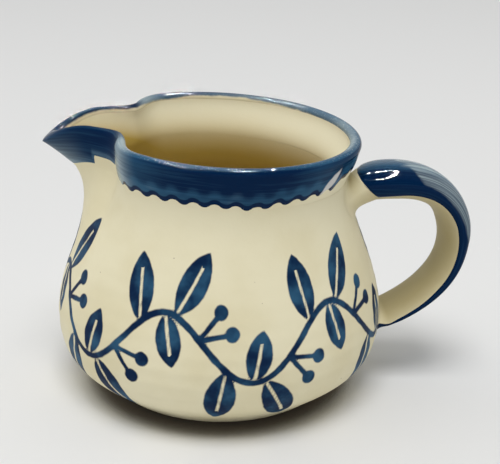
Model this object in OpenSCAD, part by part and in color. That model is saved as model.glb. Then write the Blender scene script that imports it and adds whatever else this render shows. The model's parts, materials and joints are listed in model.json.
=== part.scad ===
// Hand-thrown cream jug: a round belly, a leaning collar with a pulled spout, and a strap handle.
// The flat foot stands at z = 0 on the pot's axis, the spout points to -X and the handle to +X.

/* [Body] */
// Radius of the flat foot
foot_r = 38; // [35:1:42]
// Radius of the belly where it is widest
belly_r = 56; // [52:1:62]
// Height at which the belly is widest
belly_z = 26.4; // [23:0.2:32]
// Radius of the neck under the collar
neck_r = 42; // [39:0.2:46]
// Height of the neck, where the collar starts
neck_z = 76.8; // [73:0.2:86]
// Thickness of the thrown wall
wall_t = 4; // [3:0.25:5.5]
// Thickness of the floor
floor_t = 6; // [4:0.5:9]

/* [Collar] */
// Height of the collar, from the neck to the crest of its lip
collar_h = 13.9; // [11:0.1:17]
// Radius of the lip along its crest
rim_r = 43.8; // [41.8:0.2:48]
// Thickness of the rounded lip
lip_t = 3.8; // [3:0.2:5]
// Lean of the collar, down towards the handle, in degrees
collar_lean = 2.3; // [0:0.1:4]

/* [Spout] */
// Height at which the spout starts to leave the wall
throat_z = 48; // [44:1:56]
// How far the lip is pulled out at the spout
spout_reach = 13; // [8:0.5:16]
// How far the lip is pinched in beside the spout
pinch_depth = 6.4; // [3:0.2:8]
// Angle from the middle of the spout to each pinch, in degrees
pinch_angle = 26.8; // [22:0.2:32]
// Angle over which a pinch fades into the collar, in degrees
pinch_spread = 28.2; // [24:0.2:36]
// How far the lip climbs towards the spout
spout_rise = 0.3; // [0:0.1:3]
// How far the tip of the spout droops
spout_droop = 5.3; // [2:0.1:7]
// Angle to each side over which the tip droops, in degrees
droop_angle = 15.7; // [12:0.1:22]
// How far the nose of the spout hangs out past its lip
nose_overhang = 2.4; // [0.5:0.1:4]
// How far the nose hangs down below the side of its lip
nose_drop = 2; // [0:0.1:3]

/* [Handle] */
// Height of the upper root on the neck
upper_root_z = 67; // [64:0.5:69]
// Height of the crown, the highest point of the strap's middle line
crown_z = 73; // [70:0.1:78]
// Distance of the crown from the neck
crown_out = 17.5; // [14:0.5:23]
// Distance of the strap's outermost middle point from the neck
grip_out = 38.7; // [34:0.1:46]
// Height of the strap's outermost point
grip_z = 53.2; // [48:0.1:58]
// Height of the lower root on the belly
lower_root_z = 22.1; // [18:0.1:26]
// Width of the strap at its crown
crown_w = 24; // [18:0.5:30]
// Width of the strap at its lower end
lower_w = 19.2; // [15:0.2:25]
// Thickness of the strap at its crown
crown_t = 12.2; // [9:0.1:14]
// Thickness of the strap at its lower end
lower_t = 3.6; // [3:0.1:8]
// Turn of the handle away from the line of the spout, in degrees
handle_skew = 5.4; // [0:0.2:8]
// Twist of the strap about its own line at the grip, in degrees
strap_twist = 11.3; // [0:0.1:16]

/* [Luting clay] */
// Width of the clay smeared round the upper root
upper_wad_w = 32; // [28:0.5:38]
// Height of the clay smeared round the upper root
upper_wad_h = 15; // [12:0.5:16]
// Width of the clay smeared round the lower root
lower_wad_w = 23; // [19:0.5:30]
// Height of the clay smeared round the lower root
lower_wad_h = 9; // [7:0.5:14]
// Gap left between the clay and the turned wall
luting_gap = 0.15; // [0.05:0.05:0.3]

/* [Coats] */
// Thickness of the blue slip
slip_t = 0.4; // [0.2:0.1:0.8]
// Height of the slip's lower edge above the neck
slip_edge_h = 2.4; // [1.4:0.1:4]
// Depth of the waves along that edge, to each side
slip_wave = 0.9; // [0:0.1:1.2]
// Number of waves right round the collar
slip_waves = 43; // [24:1:60]
// Thickness of the glaze inside the jug
glaze_t = 0.4; // [0.2:0.1:0.8]

/* [Hidden] */

// Overrun of every cut past the faces that it goes through
overrun = 1;

// Shares of the way along each curve of the wall at which its guide points lie
foot_curve_shares = [0.62, 0.4, 0.4];
shoulder_curve_shares = [0.32, 0.26];
// Share of the collar's flare that bulges out half way up
collar_bulge_share = 0.12;
// Power that delays the spout's flare up its height
flare_power = 1.7;
// Shares of the spans between the strap's points at which its guide points lie
root_guide_shares = [0.39, 0.56];
crown_guide_shares = [0.8, 0.93];
grip_guide_shares = [0.2, 0.19];
belly_guide_shares = [0.98, 0.36];
// Squareness of the strap's section: 1 is an ellipse
section_power = 0.95;
// Share of the strap's twist at each place along its three curves
twist_shares = [[0, 0], [0.6, 0], [1.7, 1], [3, 0.6]];
// Share of a wad's reach over which its sides follow the strap
wad_blend_share = 0.6;
// Shares of a wad's footprint at which its seat has a ring of points
seat_shares = [0.1, 0.4, 0.7, 1];
// Share of the strap's first curve that lies in the upper wad, and of its last that lies before the lower one
upper_wad_share = 0.55;
lower_wad_share = 0.95;

// Counts of points and steps
curve_steps = 14;
column_rows = 6;
lip_steps = 7;
spout_columns = 44;
slip_columns = 90;
strap_rings = 40;
strap_sides = 24;
wad_rings = 6;
// Rings of the strap that stay bare at each end, and sides that the slip wraps past each edge
bare_rings = 3;
wrap_sides = 2;

// Values worked out from the sizes above
spout_half = pinch_angle + pinch_spread;
lip_r = lip_t / 2;
lip_z = collar_h - lip_r;
rim_out = rim_r + lip_r;
rim_in = rim_r - lip_r;
bore_r = neck_r - wall_t;
top_z = neck_z + belly_r * tan(collar_lean) + overrun;
cut_reach = belly_r + grip_out;
neck_share = (neck_z - throat_z) / (neck_z + lip_z - throat_z);
// Ends of the strap, counted along its three curves
strap_start = upper_wad_share;
strap_end = 2 + lower_wad_share;

// Cubic curve through its two ends, led by two guide points
function curve_at(p, t) =
    pow(1 - t, 3) * p[0] + 3 * pow(1 - t, 2) * t * p[1] + 3 * (1 - t) * t * t * p[2] + pow(t, 3) * p[3];
function curve_way(p, t) =
    pow(1 - t, 2) * (p[1] - p[0]) + 2 * (1 - t) * t * (p[2] - p[1]) + t * t * (p[3] - p[2]);
function curve_points(p) = [for (i = [0 : curve_steps]) curve_at(p, i / curve_steps)];
function reversed(list) = [for (i = [len(list) - 1 : -1 : 0]) list[i]];

// Outline of the wall from foot to neck, moved in from the outside by inset and up from the base
function foot_curve(inset, base) =
    let (foot = [foot_r - inset, base], belly = [belly_r - inset, belly_z], span = belly - foot)
    [foot,
     foot + [foot_curve_shares[0] * span[0], foot_curve_shares[1] * span[1]],
     belly - [0, (1 - foot_curve_shares[2]) * span[1]],
     belly];
function shoulder_curve(inset) =
    let (belly = [belly_r - inset, belly_z], neck = [neck_r - inset, neck_z], rise = neck_z - belly_z)
    [belly,
     belly + [0, shoulder_curve_shares[0] * rise],
     neck - [0, shoulder_curve_shares[1] * rise],
     neck];
function wall_outline(inset, base) =
    concat(curve_points(foot_curve(inset, base)),
           [for (i = [1 : curve_steps]) curve_at(shoulder_curve(inset), i / curve_steps)],
           [[neck_r - inset, top_z]]);
function radius_table(outline) = [for (p = outline) [p[1], p[0]]];
outer_table = radius_table(wall_outline(0, 0));
inner_table = radius_table(wall_outline(wall_t, floor_t));

// Outline of the collar in its own frame, by share of the way up from the neck to the lip
function collar_out(share, grow) =
    [neck_r + grow + (rim_out - neck_r) * (share + collar_bulge_share * sin(180 * share)), share * lip_z];
function collar_in(share) = [bore_r + (rim_in - bore_r) * share, share * lip_z];
function lip_point(angle, grow) =
    [rim_r + (lip_r + grow) * cos(angle), lip_z + (lip_r + grow) * sin(angle)];

// Hump of height 1 that falls smoothly to nothing at x = -1 and x = 1
function hump(x) = abs(x) < 1 ? (1 + cos(180 * x)) / 2 : 0;
function pinch_at(a) = hump((abs(a) - pinch_angle) / (abs(a) < pinch_angle ? pinch_angle : pinch_spread));
function pull_at(a) = spout_reach * hump(a / pinch_angle) - pinch_depth * pinch_at(a);
function lift_at(a) = spout_rise * hump(a / spout_half) - spout_droop * hump(a / droop_angle);

// Way out from the axis at an angle from the middle of the spout
function way_out(a) = [-cos(a), -sin(a), 0];
function leaning(p) =
    [p[0] * cos(collar_lean) + p[2] * sin(collar_lean),
     p[1],
     neck_z - p[0] * sin(collar_lean) + p[2] * cos(collar_lean)];
function neck_height(a) = neck_z + neck_r * cos(a) * tan(collar_lean);

// A point of the wall pulled into the spout: pull is its share of the lip's move, nose its share of the nose
function pulled(p, a, pull, nose) =
    p + pull * (pull_at(a) * way_out(a) + [0, 0, lift_at(a)])
      + nose * hump(a / droop_angle) * (nose_overhang * way_out(a) - [0, 0, nose_drop]);
function throat_point(a, share, table, nosed) =
    let (z = throat_z + share * (neck_height(a) - throat_z), pull = pow(share * neck_share, flare_power))
    pulled(lookup(z, table) * way_out(a) + [0, 0, z], a, pull, nosed ? pull : 0);
function collar_point(a, p, share, nosed) =
    let (pull = pow(neck_share + (1 - neck_share) * share, flare_power))
    pulled(leaning(p[0] * way_out(a) + [0, 0, p[1]]), a, pull, nosed ? pull : 0);
function edge_point(a, turn, grow) =
    let (p = lip_point(turn, grow))
    pulled(leaning(p[0] * way_out(a) + [0, 0, p[1]]), a, 1, max(0, cos(turn)));

// Row shares up a column, and turns over the lip
function shares(first) = [for (i = [0 : column_rows]) first + (1 - first) * i / column_rows];
lip_turns = [for (i = [1 : lip_steps - 1]) 180 * i / lip_steps];

// Loop round the spout's wall at one angle: up outside, over the lip and down inside
function spout_loop(a) =
    concat([for (s = shares(0)) if (s < 1) throat_point(a, s, outer_table, true)],
           [for (s = shares(0)) collar_point(a, collar_out(s, 0), s, true)],
           [for (turn = lip_turns) edge_point(a, turn, 0)],
           [for (s = reversed(shares(0))) collar_point(a, collar_in(s), s, false)],
           [for (s = reversed(shares(0))) if (s < 1) throat_point(a, s, inner_table, false)]);

// Run up the outside of the collar and over its lip, for the slip that coats it
function slip_run(a, first, grow) =
    concat([for (s = shares(first)) collar_point(a, collar_out(s, grow), s, true)],
           [for (turn = lip_turns) edge_point(a, turn, grow)],
           [edge_point(a, 180, grow)]);
function slip_first(a) = (slip_edge_h + slip_wave * sin(slip_waves * a)) / lip_z;
function slip_loop(a) =
    concat(slip_run(a, slip_first(a), slip_t), reversed(slip_run(a, slip_first(a), 0)));

// Middle line of the strap, as three curves in the handle's plane: root to crown, to grip, to belly
upper_root = [lookup(upper_root_z, outer_table), upper_root_z];
crown = [neck_r + crown_out, crown_z];
grip = [neck_r + grip_out, grip_z];
lower_root = [lookup(lower_root_z, outer_table), lower_root_z];
strap_curves = [
    [upper_root,
     upper_root + [root_guide_shares[0] * (crown - upper_root)[0],
                   root_guide_shares[1] * (crown - upper_root)[1]],
     crown - [crown_guide_shares[0] * (crown - upper_root)[0], 0],
     crown],
    [crown,
     crown + [crown_guide_shares[1] * (grip - crown)[0], 0],
     grip + [0, grip_guide_shares[0] * (crown - grip)[1]],
     grip],
    [grip,
     grip - [0, grip_guide_shares[1] * (grip - lower_root)[1]],
     lower_root + [belly_guide_shares[0] * (grip - lower_root)[0],
                   belly_guide_shares[1] * (grip - lower_root)[1]],
     lower_root]];
function strap_curve(u) = strap_curves[min(floor(u), 2)];
function strap_step(u) = u - min(floor(u), 2);
function strap_middle(u) = curve_at(strap_curve(u), strap_step(u));
function strap_way(u) =
    let (way = curve_way(strap_curve(u), strap_step(u)))
    way / norm(way);

// Section of the strap: its width lies across the handle's plane and its thickness square to the middle line,
// and both are twisted about that line
function powered(x) = sign(x) * pow(abs(x), section_power);
function strap_width(u) = lookup(u, [[0, crown_w], [1, crown_w], [3, lower_w]]);
function strap_thickness(u) = lookup(u, [[0, crown_t], [1, crown_t], [3, lower_t]]);
function strap_point(u, turn, grow) =
    let (middle = strap_middle(u),
         way = strap_way(u),
         twist = strap_twist * lookup(u, twist_shares),
         across = (strap_width(u) / 2 + grow) * powered(cos(turn)),
         stand = (strap_thickness(u) / 2 + grow) * powered(sin(turn)),
         rise = stand * cos(twist) - across * sin(twist))
    [middle[0] - way[1] * rise, across * cos(twist) + stand * sin(twist), middle[1] + way[0] * rise];
function side_turn(i) = 360 * (i + 1 / 2) / strap_sides;
function ring_place(i) = strap_start + (strap_end - strap_start) * i / strap_rings;
strap_turns = [for (i = [0 : strap_sides - 1]) side_turn(i)];
coat_turns = [for (i = [-wrap_sides : strap_sides / 2 + wrap_sides - 1]) side_turn(i)];
function strap_ring(u) = [for (turn = strap_turns) strap_point(u, turn, 0)];
function coat_loop(u) =
    concat([for (turn = coat_turns) strap_point(u, turn, slip_t)],
           [for (turn = reversed(coat_turns)) strap_point(u, turn, 0)]);

// Point of a wad's footprint on the wall; side is 1 for the upper root and -1 for the lower one
function seat_point(turn, share, root_z, w, h, side) =
    let (y = share * w / 2 * cos(turn),
         z = root_z + side * share * h / 2 * sin(turn),
         r = lookup(z, outer_table))
    [sqrt(r * r - y * y) + luting_gap, y, z];
function wad_point(turn, share, u, root_z, w, h, side) =
    let (seat = seat_point(turn, 1, root_z, w, h, side),
         end = strap_point(u, turn, 0),
         way = side * [strap_way(u)[0], 0, strap_way(u)[1]],
         lead = end - wad_blend_share * norm(end - seat) * way)
    pow(1 - share, 2) * seat + 2 * (1 - share) * share * lead + share * share * end;
function wad_loops(u, root_z, w, h, side) =
    concat([for (s = seat_shares) [for (turn = strap_turns) seat_point(turn, s, root_z, w, h, side)]],
           [for (i = [1 : wad_rings]) [for (turn = strap_turns)
               wad_point(turn, i / wad_rings, u, root_z, w, h, side)]]);

// Closed skin over a row of loops that turn right-handed along the row, with a ladder of faces on each end
module skin(loops) {
    n = len(loops[0]);
    last = (len(loops) - 1) * n;
    sides = [for (i = [0 : len(loops) - 2]) for (j = [0 : n - 1])
        let (a = i * n + j, b = i * n + (j + 1) % n)
        each [[a, a + n, b + n], [a, b + n, b]]];
    start_cap = [for (j = [0 : n / 2 - 2])
        each [[j, j + 1, n - 2 - j], [j, n - 2 - j, n - 1 - j]]];
    end_cap = [for (face = start_cap) [last + face[2], last + face[1], last + face[0]]];
    polyhedron([for (loop = loops) each loop], concat(start_cap, sides, end_cap));
}

// Slice of the spout's angle, from the axis out past the wall
module spout_slice() {
    polygon([[0, 0],
             [-cut_reach, cut_reach * tan(spout_half)],
             [-cut_reach, -cut_reach * tan(spout_half)]]);
}

module collar_frame() {
    translate([0, 0, neck_z]) rotate([0, collar_lean, 0]) children();
}

// What the collar and the spout take the place of
module neck_cuts() {
    translate([0, 0, throat_z]) linear_extrude(top_z) spout_slice();
    collar_frame() translate([-cut_reach, -cut_reach, 0]) cube([2 * cut_reach, 2 * cut_reach, top_z]);
}

module body() {
    color("cornsilk") difference() {
        rotate_extrude() polygon(concat([[0, 0]], wall_outline(0, 0),
                                        reversed(wall_outline(wall_t, floor_t)), [[0, floor_t]]));
        neck_cuts();
    }
}

module collar() {
    color("cornsilk") collar_frame() difference() {
        rotate_extrude() polygon(concat([for (s = shares(0)) collar_out(s, 0)],
                                        [for (turn = lip_turns) lip_point(turn, 0)],
                                        [for (s = reversed(shares(0))) collar_in(s)]));
        translate([0, 0, -overrun]) linear_extrude(collar_h + 2 * overrun) spout_slice();
    }
}

module spout() {
    color("cornsilk")
        skin([for (i = [0 : spout_columns]) spout_loop(spout_half * (1 - 2 * i / spout_columns))]);
}

module handle() {
    color("cornsilk") rotate([0, 0, handle_skew])
        skin([for (i = [0 : strap_rings]) strap_ring(ring_place(i))]);
}

module upper_wad() {
    color("blanchedalmond") rotate([0, 0, handle_skew])
        skin(wad_loops(strap_start, upper_root_z, upper_wad_w, upper_wad_h, 1));
}

module lower_wad() {
    color("blanchedalmond") rotate([0, 0, handle_skew])
        skin(reversed(wad_loops(strap_end, lower_root_z, lower_wad_w, lower_wad_h, -1)));
}

module collar_slip() {
    covered = 360 - 2 * spout_half;
    color("midnightblue")
        skin([for (i = [0 : slip_columns]) slip_loop(360 - spout_half - covered * i / slip_columns)]);
}

module spout_slip() {
    color("midnightblue")
        skin([for (i = [0 : spout_columns]) slip_loop(spout_half * (1 - 2 * i / spout_columns))]);
}

module handle_slip() {
    color("midnightblue") rotate([0, 0, handle_skew])
        skin([for (i = [bare_rings : strap_rings - bare_rings]) coat_loop(ring_place(i))]);
}

module liner_glaze() {
    color("palegoldenrod") difference() {
        rotate_extrude() polygon(concat([[0, floor_t]], wall_outline(wall_t, floor_t),
                                        reversed(wall_outline(wall_t + glaze_t, floor_t + glaze_t)),
                                        [[0, floor_t + glaze_t]]));
        neck_cuts();
    }
}

body();
collar();
spout();
handle();
upper_wad();
lower_wad();
collar_slip();
spout_slip();
handle_slip();
liner_glaze();
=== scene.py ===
# %% [markdown]
# # A hand-thrown cream jug
# The jug is one pot of buff stoneware: a thrown body, a leaning collar with a pulled spout, and a strap
# handle luted on with wads of clay. Blue slip is brushed over the collar, the spout and the strap, and
# a clear glaze covers it all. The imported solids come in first, and everything here is shaped around
# them.

# %% Load the frame
import json

import bmesh
import bpy
import numpy as np
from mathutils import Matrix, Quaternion, Vector

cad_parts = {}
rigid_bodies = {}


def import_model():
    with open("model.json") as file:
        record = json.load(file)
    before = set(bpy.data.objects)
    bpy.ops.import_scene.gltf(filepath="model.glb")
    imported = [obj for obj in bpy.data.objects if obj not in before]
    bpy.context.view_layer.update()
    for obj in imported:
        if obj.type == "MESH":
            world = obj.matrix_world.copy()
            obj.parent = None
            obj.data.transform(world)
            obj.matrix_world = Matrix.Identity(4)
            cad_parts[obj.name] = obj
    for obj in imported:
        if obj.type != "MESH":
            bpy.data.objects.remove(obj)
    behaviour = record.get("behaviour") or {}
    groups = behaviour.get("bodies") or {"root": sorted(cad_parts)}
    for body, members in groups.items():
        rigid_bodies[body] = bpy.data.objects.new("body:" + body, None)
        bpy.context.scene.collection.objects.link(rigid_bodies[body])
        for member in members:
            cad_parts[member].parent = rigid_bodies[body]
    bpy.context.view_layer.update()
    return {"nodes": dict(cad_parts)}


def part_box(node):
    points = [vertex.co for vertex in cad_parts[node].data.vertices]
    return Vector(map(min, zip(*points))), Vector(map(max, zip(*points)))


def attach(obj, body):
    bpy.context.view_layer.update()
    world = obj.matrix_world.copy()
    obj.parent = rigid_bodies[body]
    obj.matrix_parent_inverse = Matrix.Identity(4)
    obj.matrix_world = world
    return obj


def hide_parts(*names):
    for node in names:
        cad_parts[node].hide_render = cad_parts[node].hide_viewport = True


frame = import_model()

print("solids:", ", ".join(sorted(frame["nodes"])))

# %% [markdown]
# ## The sizes that drive the pot
# Potters think in a few radii and heights: foot, belly, neck and rim. Lengths are in metres. The
# belly's radius is read from the solid. The other sizes are those that the solids are built from,
# written out as a potter would note them. Only the last four are the scene's own: a power that slims
# the nose's underside, and the finger's crease beside each pinch.

# %% Driving sizes
MM = 0.001
_, body_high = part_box("body")
belly_radius = body_high.x
foot_radius = 38 * MM
belly_height = 26.4 * MM
neck_radius = 42 * MM
neck_height = 76.8 * MM
wall = 4 * MM
floor_thickness = 6 * MM

collar_height = 13.9 * MM
rim_radius = 43.8 * MM
lip_radius = 1.9 * MM
collar_lean = np.radians(2.3)

throat_height = 48 * MM
spout_reach = 13 * MM
pinch_depth = 6.4 * MM
pinch_angle = np.radians(26.8)
pinch_spread = np.radians(28.2)
spout_rise = 0.3 * MM
spout_droop = 5.3 * MM
droop_angle = np.radians(15.7)
nose_overhang = 2.4 * MM
nose_drop = 2 * MM
flare_power = 1.7

nose_power = 3
crease_depth = 1.3 * MM
crease_angle = np.radians(31)
crease_width = np.radians(4)

spout_half = pinch_angle + pinch_spread
lip_height = collar_height - lip_radius
print(f"belly {2000 * belly_radius:.0f} mm across, spout sector {np.degrees(2 * spout_half):.0f} degrees")

# %% [markdown]
# ## Turning grids of points into faces
# Every piece is a grid of points worked out with numpy. A row of closed loops becomes a skin of
# four-sided faces, and a ladder of faces shuts each end. Blender could work out which way the faces
# point, but the sign of the enclosed volume is one plain test for a whole piece.


# %% Skins and volumes
def skin(loops):
    """Faces over a row of closed loops: quads between neighbours, and a ladder of quads on each end."""
    count, size = loops.shape[:2]
    index = np.arange(count * size).reshape(count, size)
    ahead = np.roll(index, -1, axis=1)
    sides = np.stack([index[:-1], ahead[:-1], ahead[1:], index[1:]], axis=-1).reshape(-1, 4)
    rung = np.arange(size // 2 - 1)
    ladder = np.stack([rung, rung + 1, size - 2 - rung, size - 1 - rung], axis=-1)
    return np.concatenate([index[0][ladder][:, ::-1], sides, index[-1][ladder]])


def enclosed_volume(points, faces):
    """Sum of the signed volumes of the tetrahedra between the origin and the two halves of each face."""
    a, b, c, d = (points[faces[:, corner]] for corner in range(4))
    sixfold = np.einsum("ij,ij->i", a, np.cross(b, c)) + np.einsum("ij,ij->i", a, np.cross(c, d))
    return sixfold.sum() / 6


print("skins and volumes ready")

# %% [markdown]
# ## From arrays to a Blender object
# A mesh takes whole lists of points and faces at once, which is far quicker than adding them one by
# one. What a finish has to know about a point, such as its distance to a brush stroke, goes with it as
# an attribute. Points that lie on each other, as where a coat thins out to nothing, are merged, so that
# every face has an area.

# %% Make a piece
SHARP_ANGLE = np.radians(50)
WELD_LENGTH = 1e-8


def weld(mesh):
    """Merges points that lie on each other, and drops the faces that this flattens."""
    builder = bmesh.new()
    builder.from_mesh(mesh)
    bmesh.ops.remove_doubles(builder, verts=builder.verts, dist=WELD_LENGTH)
    builder.to_mesh(mesh)
    builder.free()


def make_piece(name, points, faces, fans=(), uv=None, **fields):
    """Makes a mesh object of points, quads and triangle fans, with a UV map and an attribute per field."""
    points = points.reshape(-1, 3)
    if enclosed_volume(points, faces) < 0:
        faces = faces[:, ::-1]
        fans = [triangles[:, ::-1] for triangles in fans]
    corners = [faces.ravel()] + [triangles.ravel() for triangles in fans]
    used, order = np.unique(np.concatenate(corners), return_inverse=True)
    groups = np.split(order, np.cumsum([group.size for group in corners])[:-1])
    lists = groups[0].reshape(-1, 4).tolist()
    for group in groups[1:]:
        lists += group.reshape(-1, 3).tolist()
    mesh = bpy.data.meshes.new(name)
    mesh.from_pydata(points[used].tolist(), [], lists)
    for field, values in fields.items():
        layer = mesh.attributes.new(field, "FLOAT", "POINT")
        layer.data.foreach_set("value", values.reshape(-1)[used].astype(np.float32))
    if uv is not None:
        corner_point = np.empty(len(mesh.loops), dtype=np.int32)
        mesh.loops.foreach_get("vertex_index", corner_point)
        layer = mesh.uv_layers.new(name="UVMap")
        layer.data.foreach_set("uv", uv.reshape(-1, 2)[used][corner_point].ravel().astype(np.float32))
    weld(mesh)
    mesh.shade_smooth()
    mesh.set_sharp_from_angle(angle=SHARP_ANGLE)
    piece = bpy.data.objects.new(name, mesh)
    bpy.context.scene.collection.objects.link(piece)
    print(f"{name}: {len(mesh.vertices)} points, {len(mesh.polygons)} faces")
    return piece


print(f"edges over {np.degrees(SHARP_ANGLE):.0f} degrees stay sharp")

# %% [markdown]
# ## The outline of the thrown wall
# The wall swells from the foot to the belly and draws in to the neck. Two cubic curves that share an
# upright tangent at the belly give that line with few numbers. A faint ripple stands for the throwing
# rings, and the foot's edge is rounded where a wet sponge went over it.

# %% Wall outline
FOOT_GUIDE_SHARES = (0.62, 0.40, 0.40)
SHOULDER_GUIDE_SHARES = (0.32, 0.26)
INNER_GUIDE_SHARES = (0.32, 0.48)
ring_pitch = 5.2 * MM
ring_depth = 0.06 * MM
foot_round = 1.6 * MM
OUTLINE_STEPS = 200


def cubic(points, t):
    """Cubic curve: four points weighted by (1-t)^3, 3t(1-t)^2, 3t^2(1-t) and t^3."""
    a, b, c, d = np.asarray(points, float)
    t = np.asarray(t, float)[..., None]
    return (1 - t) ** 3 * a + 3 * t * (1 - t) ** 2 * b + 3 * t ** 2 * (1 - t) * c + t ** 3 * d


def wall_outline(inset, base, guides):
    """Radius and height from foot to neck, moved in by inset.

    One cubic leads up to the belly and one on to the neck. A sine adds the throwing rings, and a parabola
    rounds the foot's edge.
    """
    foot = np.array([foot_radius - inset, base])
    belly = np.array([belly_radius - inset, belly_height])
    neck = np.array([neck_radius - inset, neck_height])
    out, up, stop = FOOT_GUIDE_SHARES
    low = [foot, foot + (belly - foot) * [out, up], belly - [0, (1 - stop) * (belly - foot)[1]], belly]
    rise, fall = np.array(guides) * (neck_height - belly_height)
    high = [belly, belly + [0, rise], neck - [0, fall], neck]
    t = np.linspace(0, 1, OUTLINE_STEPS)
    line = np.concatenate([cubic(low, t), cubic(high, t[1:]), [neck + [0, collar_height]]])
    fade = np.interp(line[:, 1], [base, belly_height, neck_height], [0, 1, 0])
    line[:, 0] += ring_depth * fade * np.sin(2 * np.pi * line[:, 1] / ring_pitch)
    line[:, 0] -= foot_round * np.maximum(0, 1 - (line[:, 1] - base) / foot_round) ** 2
    return line


outer_line = wall_outline(0, 0, SHOULDER_GUIDE_SHARES)
inner_line = wall_outline(wall, floor_thickness, INNER_GUIDE_SHARES)
print(f"outline of {len(outer_line)} points, {1000 * outer_line[:, 0].max():.1f} mm at its widest")

# %% [markdown]
# ## Pulling the spout
# A potter pinches the rim between two fingers and strokes the clay between them outwards. It could be
# sculpted by hand, but here the same wall is moved by smooth humps, so that every size stays a number:
# two humps push it in at the pinches, one pulls it out between them, and the tip droops. The finger
# also leaves a narrow crease down the outside of each pinch.

# %% Moves of the lip
UP = np.array([0.0, 0.0, 1.0])


def hump(x):
    """Height 1 at x = 0, falling as a raised cosine to nothing at x = -1 and x = 1."""
    return np.where(np.abs(x) < 1, (1 + np.cos(np.pi * np.clip(x, -1, 1))) / 2, 0)


def way_out(angle):
    """Unit vector out from the axis; angle 0 is the middle of the spout, on -X."""
    return np.stack([-np.cos(angle), -np.sin(angle), np.zeros_like(angle)], axis=-1)


def turned(angle, radius, height):
    """Points of a turned wall: radius along the way out at each angle, and height along the axis."""
    angle, radius, height = np.broadcast_arrays(angle, radius, height)
    return radius[..., None] * way_out(angle) + height[..., None] * UP


def pulled(points, angle, pull, nose):
    """Adds pull times the lip's move at each angle: humps out, in and down.

    Nose is the share of the spout's nose, a hump to a power, and of the creases, which are bell curves.
    """
    from_pinch = np.abs(angle) - pinch_angle
    pinch = hump(from_pinch / np.where(from_pinch < 0, pinch_angle, pinch_spread))
    out = spout_reach * hump(angle / pinch_angle) - pinch_depth * pinch
    lift = spout_rise * hump(angle / spout_half) - spout_droop * hump(angle / droop_angle)
    tip = nose ** nose_power * hump(angle / droop_angle)
    crease = nose * np.exp(-((np.abs(angle) - crease_angle) / crease_width) ** 2)
    outward = pull * out + tip * nose_overhang - crease * crease_depth
    upward = pull * lift - tip * nose_drop
    return points + outward[..., None] * way_out(angle + 0 * outward) + upward[..., None] * UP


print(f"the spout reaches {1000 * spout_reach:.0f} mm out and droops {1000 * spout_droop:.1f} mm")

# %% [markdown]
# ## Rows up the wall
# Above the throat the wall is made of rows: turned ones up to the neck, then the collar, which leans,
# and its rounded lip. A point takes a share of the lip's move that grows up the wall as a power, so
# that the spout leaves the body gently. Collar, spout and slip all use these rows, so they fit each
# other.

# %% Rows of the wall
neck_share = (neck_height - throat_height) / (neck_height + lip_height - throat_height)


def leaning(points):
    """Points of the upright collar turned about Y by the lean and set on the neck."""
    x, y, z = np.moveaxis(points, -1, 0)
    turned_x = x * np.cos(collar_lean) + z * np.sin(collar_lean)
    turned_z = z * np.cos(collar_lean) - x * np.sin(collar_lean)
    return np.stack([turned_x, y, turned_z + neck_height], axis=-1)


def throat_rows(angle, share, line, nosed):
    """Rows of the wall between throat and neck: the turned outline, with the spout's pull on it."""
    top = neck_height + neck_radius * np.cos(angle) * np.tan(collar_lean)
    height = throat_height + share * (top - throat_height)
    radius = np.interp(height, line[:, 1], line[:, 0])
    pull = (share * neck_share) ** flare_power + 0 * angle
    return pulled(turned(angle, radius, height), angle, pull, nosed * pull)


def collar_rows(angle, radius, height, share, nosed):
    """Rows of the collar: radius and height in its own frame, leaned, with the spout's pull on them."""
    pull = (neck_share + (1 - neck_share) * share) ** flare_power + 0 * angle
    return pulled(leaning(turned(angle, radius, height)), angle, pull, nosed * pull)


print(f"the neck lies {100 * neck_share:.0f}% of the way up from the throat to the lip")

# %% [markdown]
# ## The collar and its lip
# The collar flares from the neck to a thick lip that is rounded with a wet leather. Its outside starts
# upright, so that it meets the body without a kink, and bulges a little. A spun curve would do for a
# plain rim, but these rows can lean and take the spout's pull as well.

# %% Collar rows
collar_bulge_share = 0.12
neck_ease_share = 0.07


def eased(share, bulge, ease):
    """Share of a flare at a share of its height: straight with a sine bulge, but upright at the neck."""
    slope = 1 + np.pi * bulge
    late = slope * ease * (1 - np.exp(-share / ease))
    last = slope * ease * (1 - np.exp(-1 / ease))
    return (share + bulge * np.sin(np.pi * share) - late) / (1 - last)


def collar_outside(angle, share, grow=0.0):
    """Outside of the collar: an eased flare, stood off by grow."""
    flare = rim_radius + lip_radius - neck_radius
    radius = neck_radius + grow + flare * eased(share, collar_bulge_share, neck_ease_share)
    return collar_rows(angle, radius, share * lip_height, share, 1.0)


def collar_inside(angle, share):
    """Inside of the collar: a flare from the bore to the lip, 3s^2 - 2s^3, upright at both ends."""
    flare = rim_radius - lip_radius - (neck_radius - wall)
    radius = neck_radius - wall + flare * share ** 2 * (3 - 2 * share)
    return collar_rows(angle, radius, share * lip_height, share, 0.0)


def lip_rows(angle, turn, grow=0.0):
    """The rounded lip: a half circle over the wall, whose outer half follows the nose of the spout."""
    radius = rim_radius + (lip_radius + grow) * np.cos(turn)
    height = lip_height + (lip_radius + grow) * np.sin(turn)
    pull = np.ones_like(angle + turn)
    nose = np.maximum(0, np.cos(turn)) * pull
    return pulled(leaning(turned(angle, radius, height)), angle, pull, nose)


print(f"the collar flares by {1000 * (rim_radius + lip_radius - neck_radius):.1f} mm on its outside")

# %% [markdown]
# ## The body's wall
# The body is turned, but the spout has been opened out of its front, so its wall has a notch there. A
# boolean cut would leave ragged triangles. Instead the grid has a column of points on each side of the
# notch, and its rows are spaced evenly along the outline.

# %% Wall grids
SPOUT_CELLS = 150
COLLAR_CELLS = 330
LOW_ROWS = 90
HIGH_ROWS = 44
INSIDE_ROWS = 24

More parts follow.
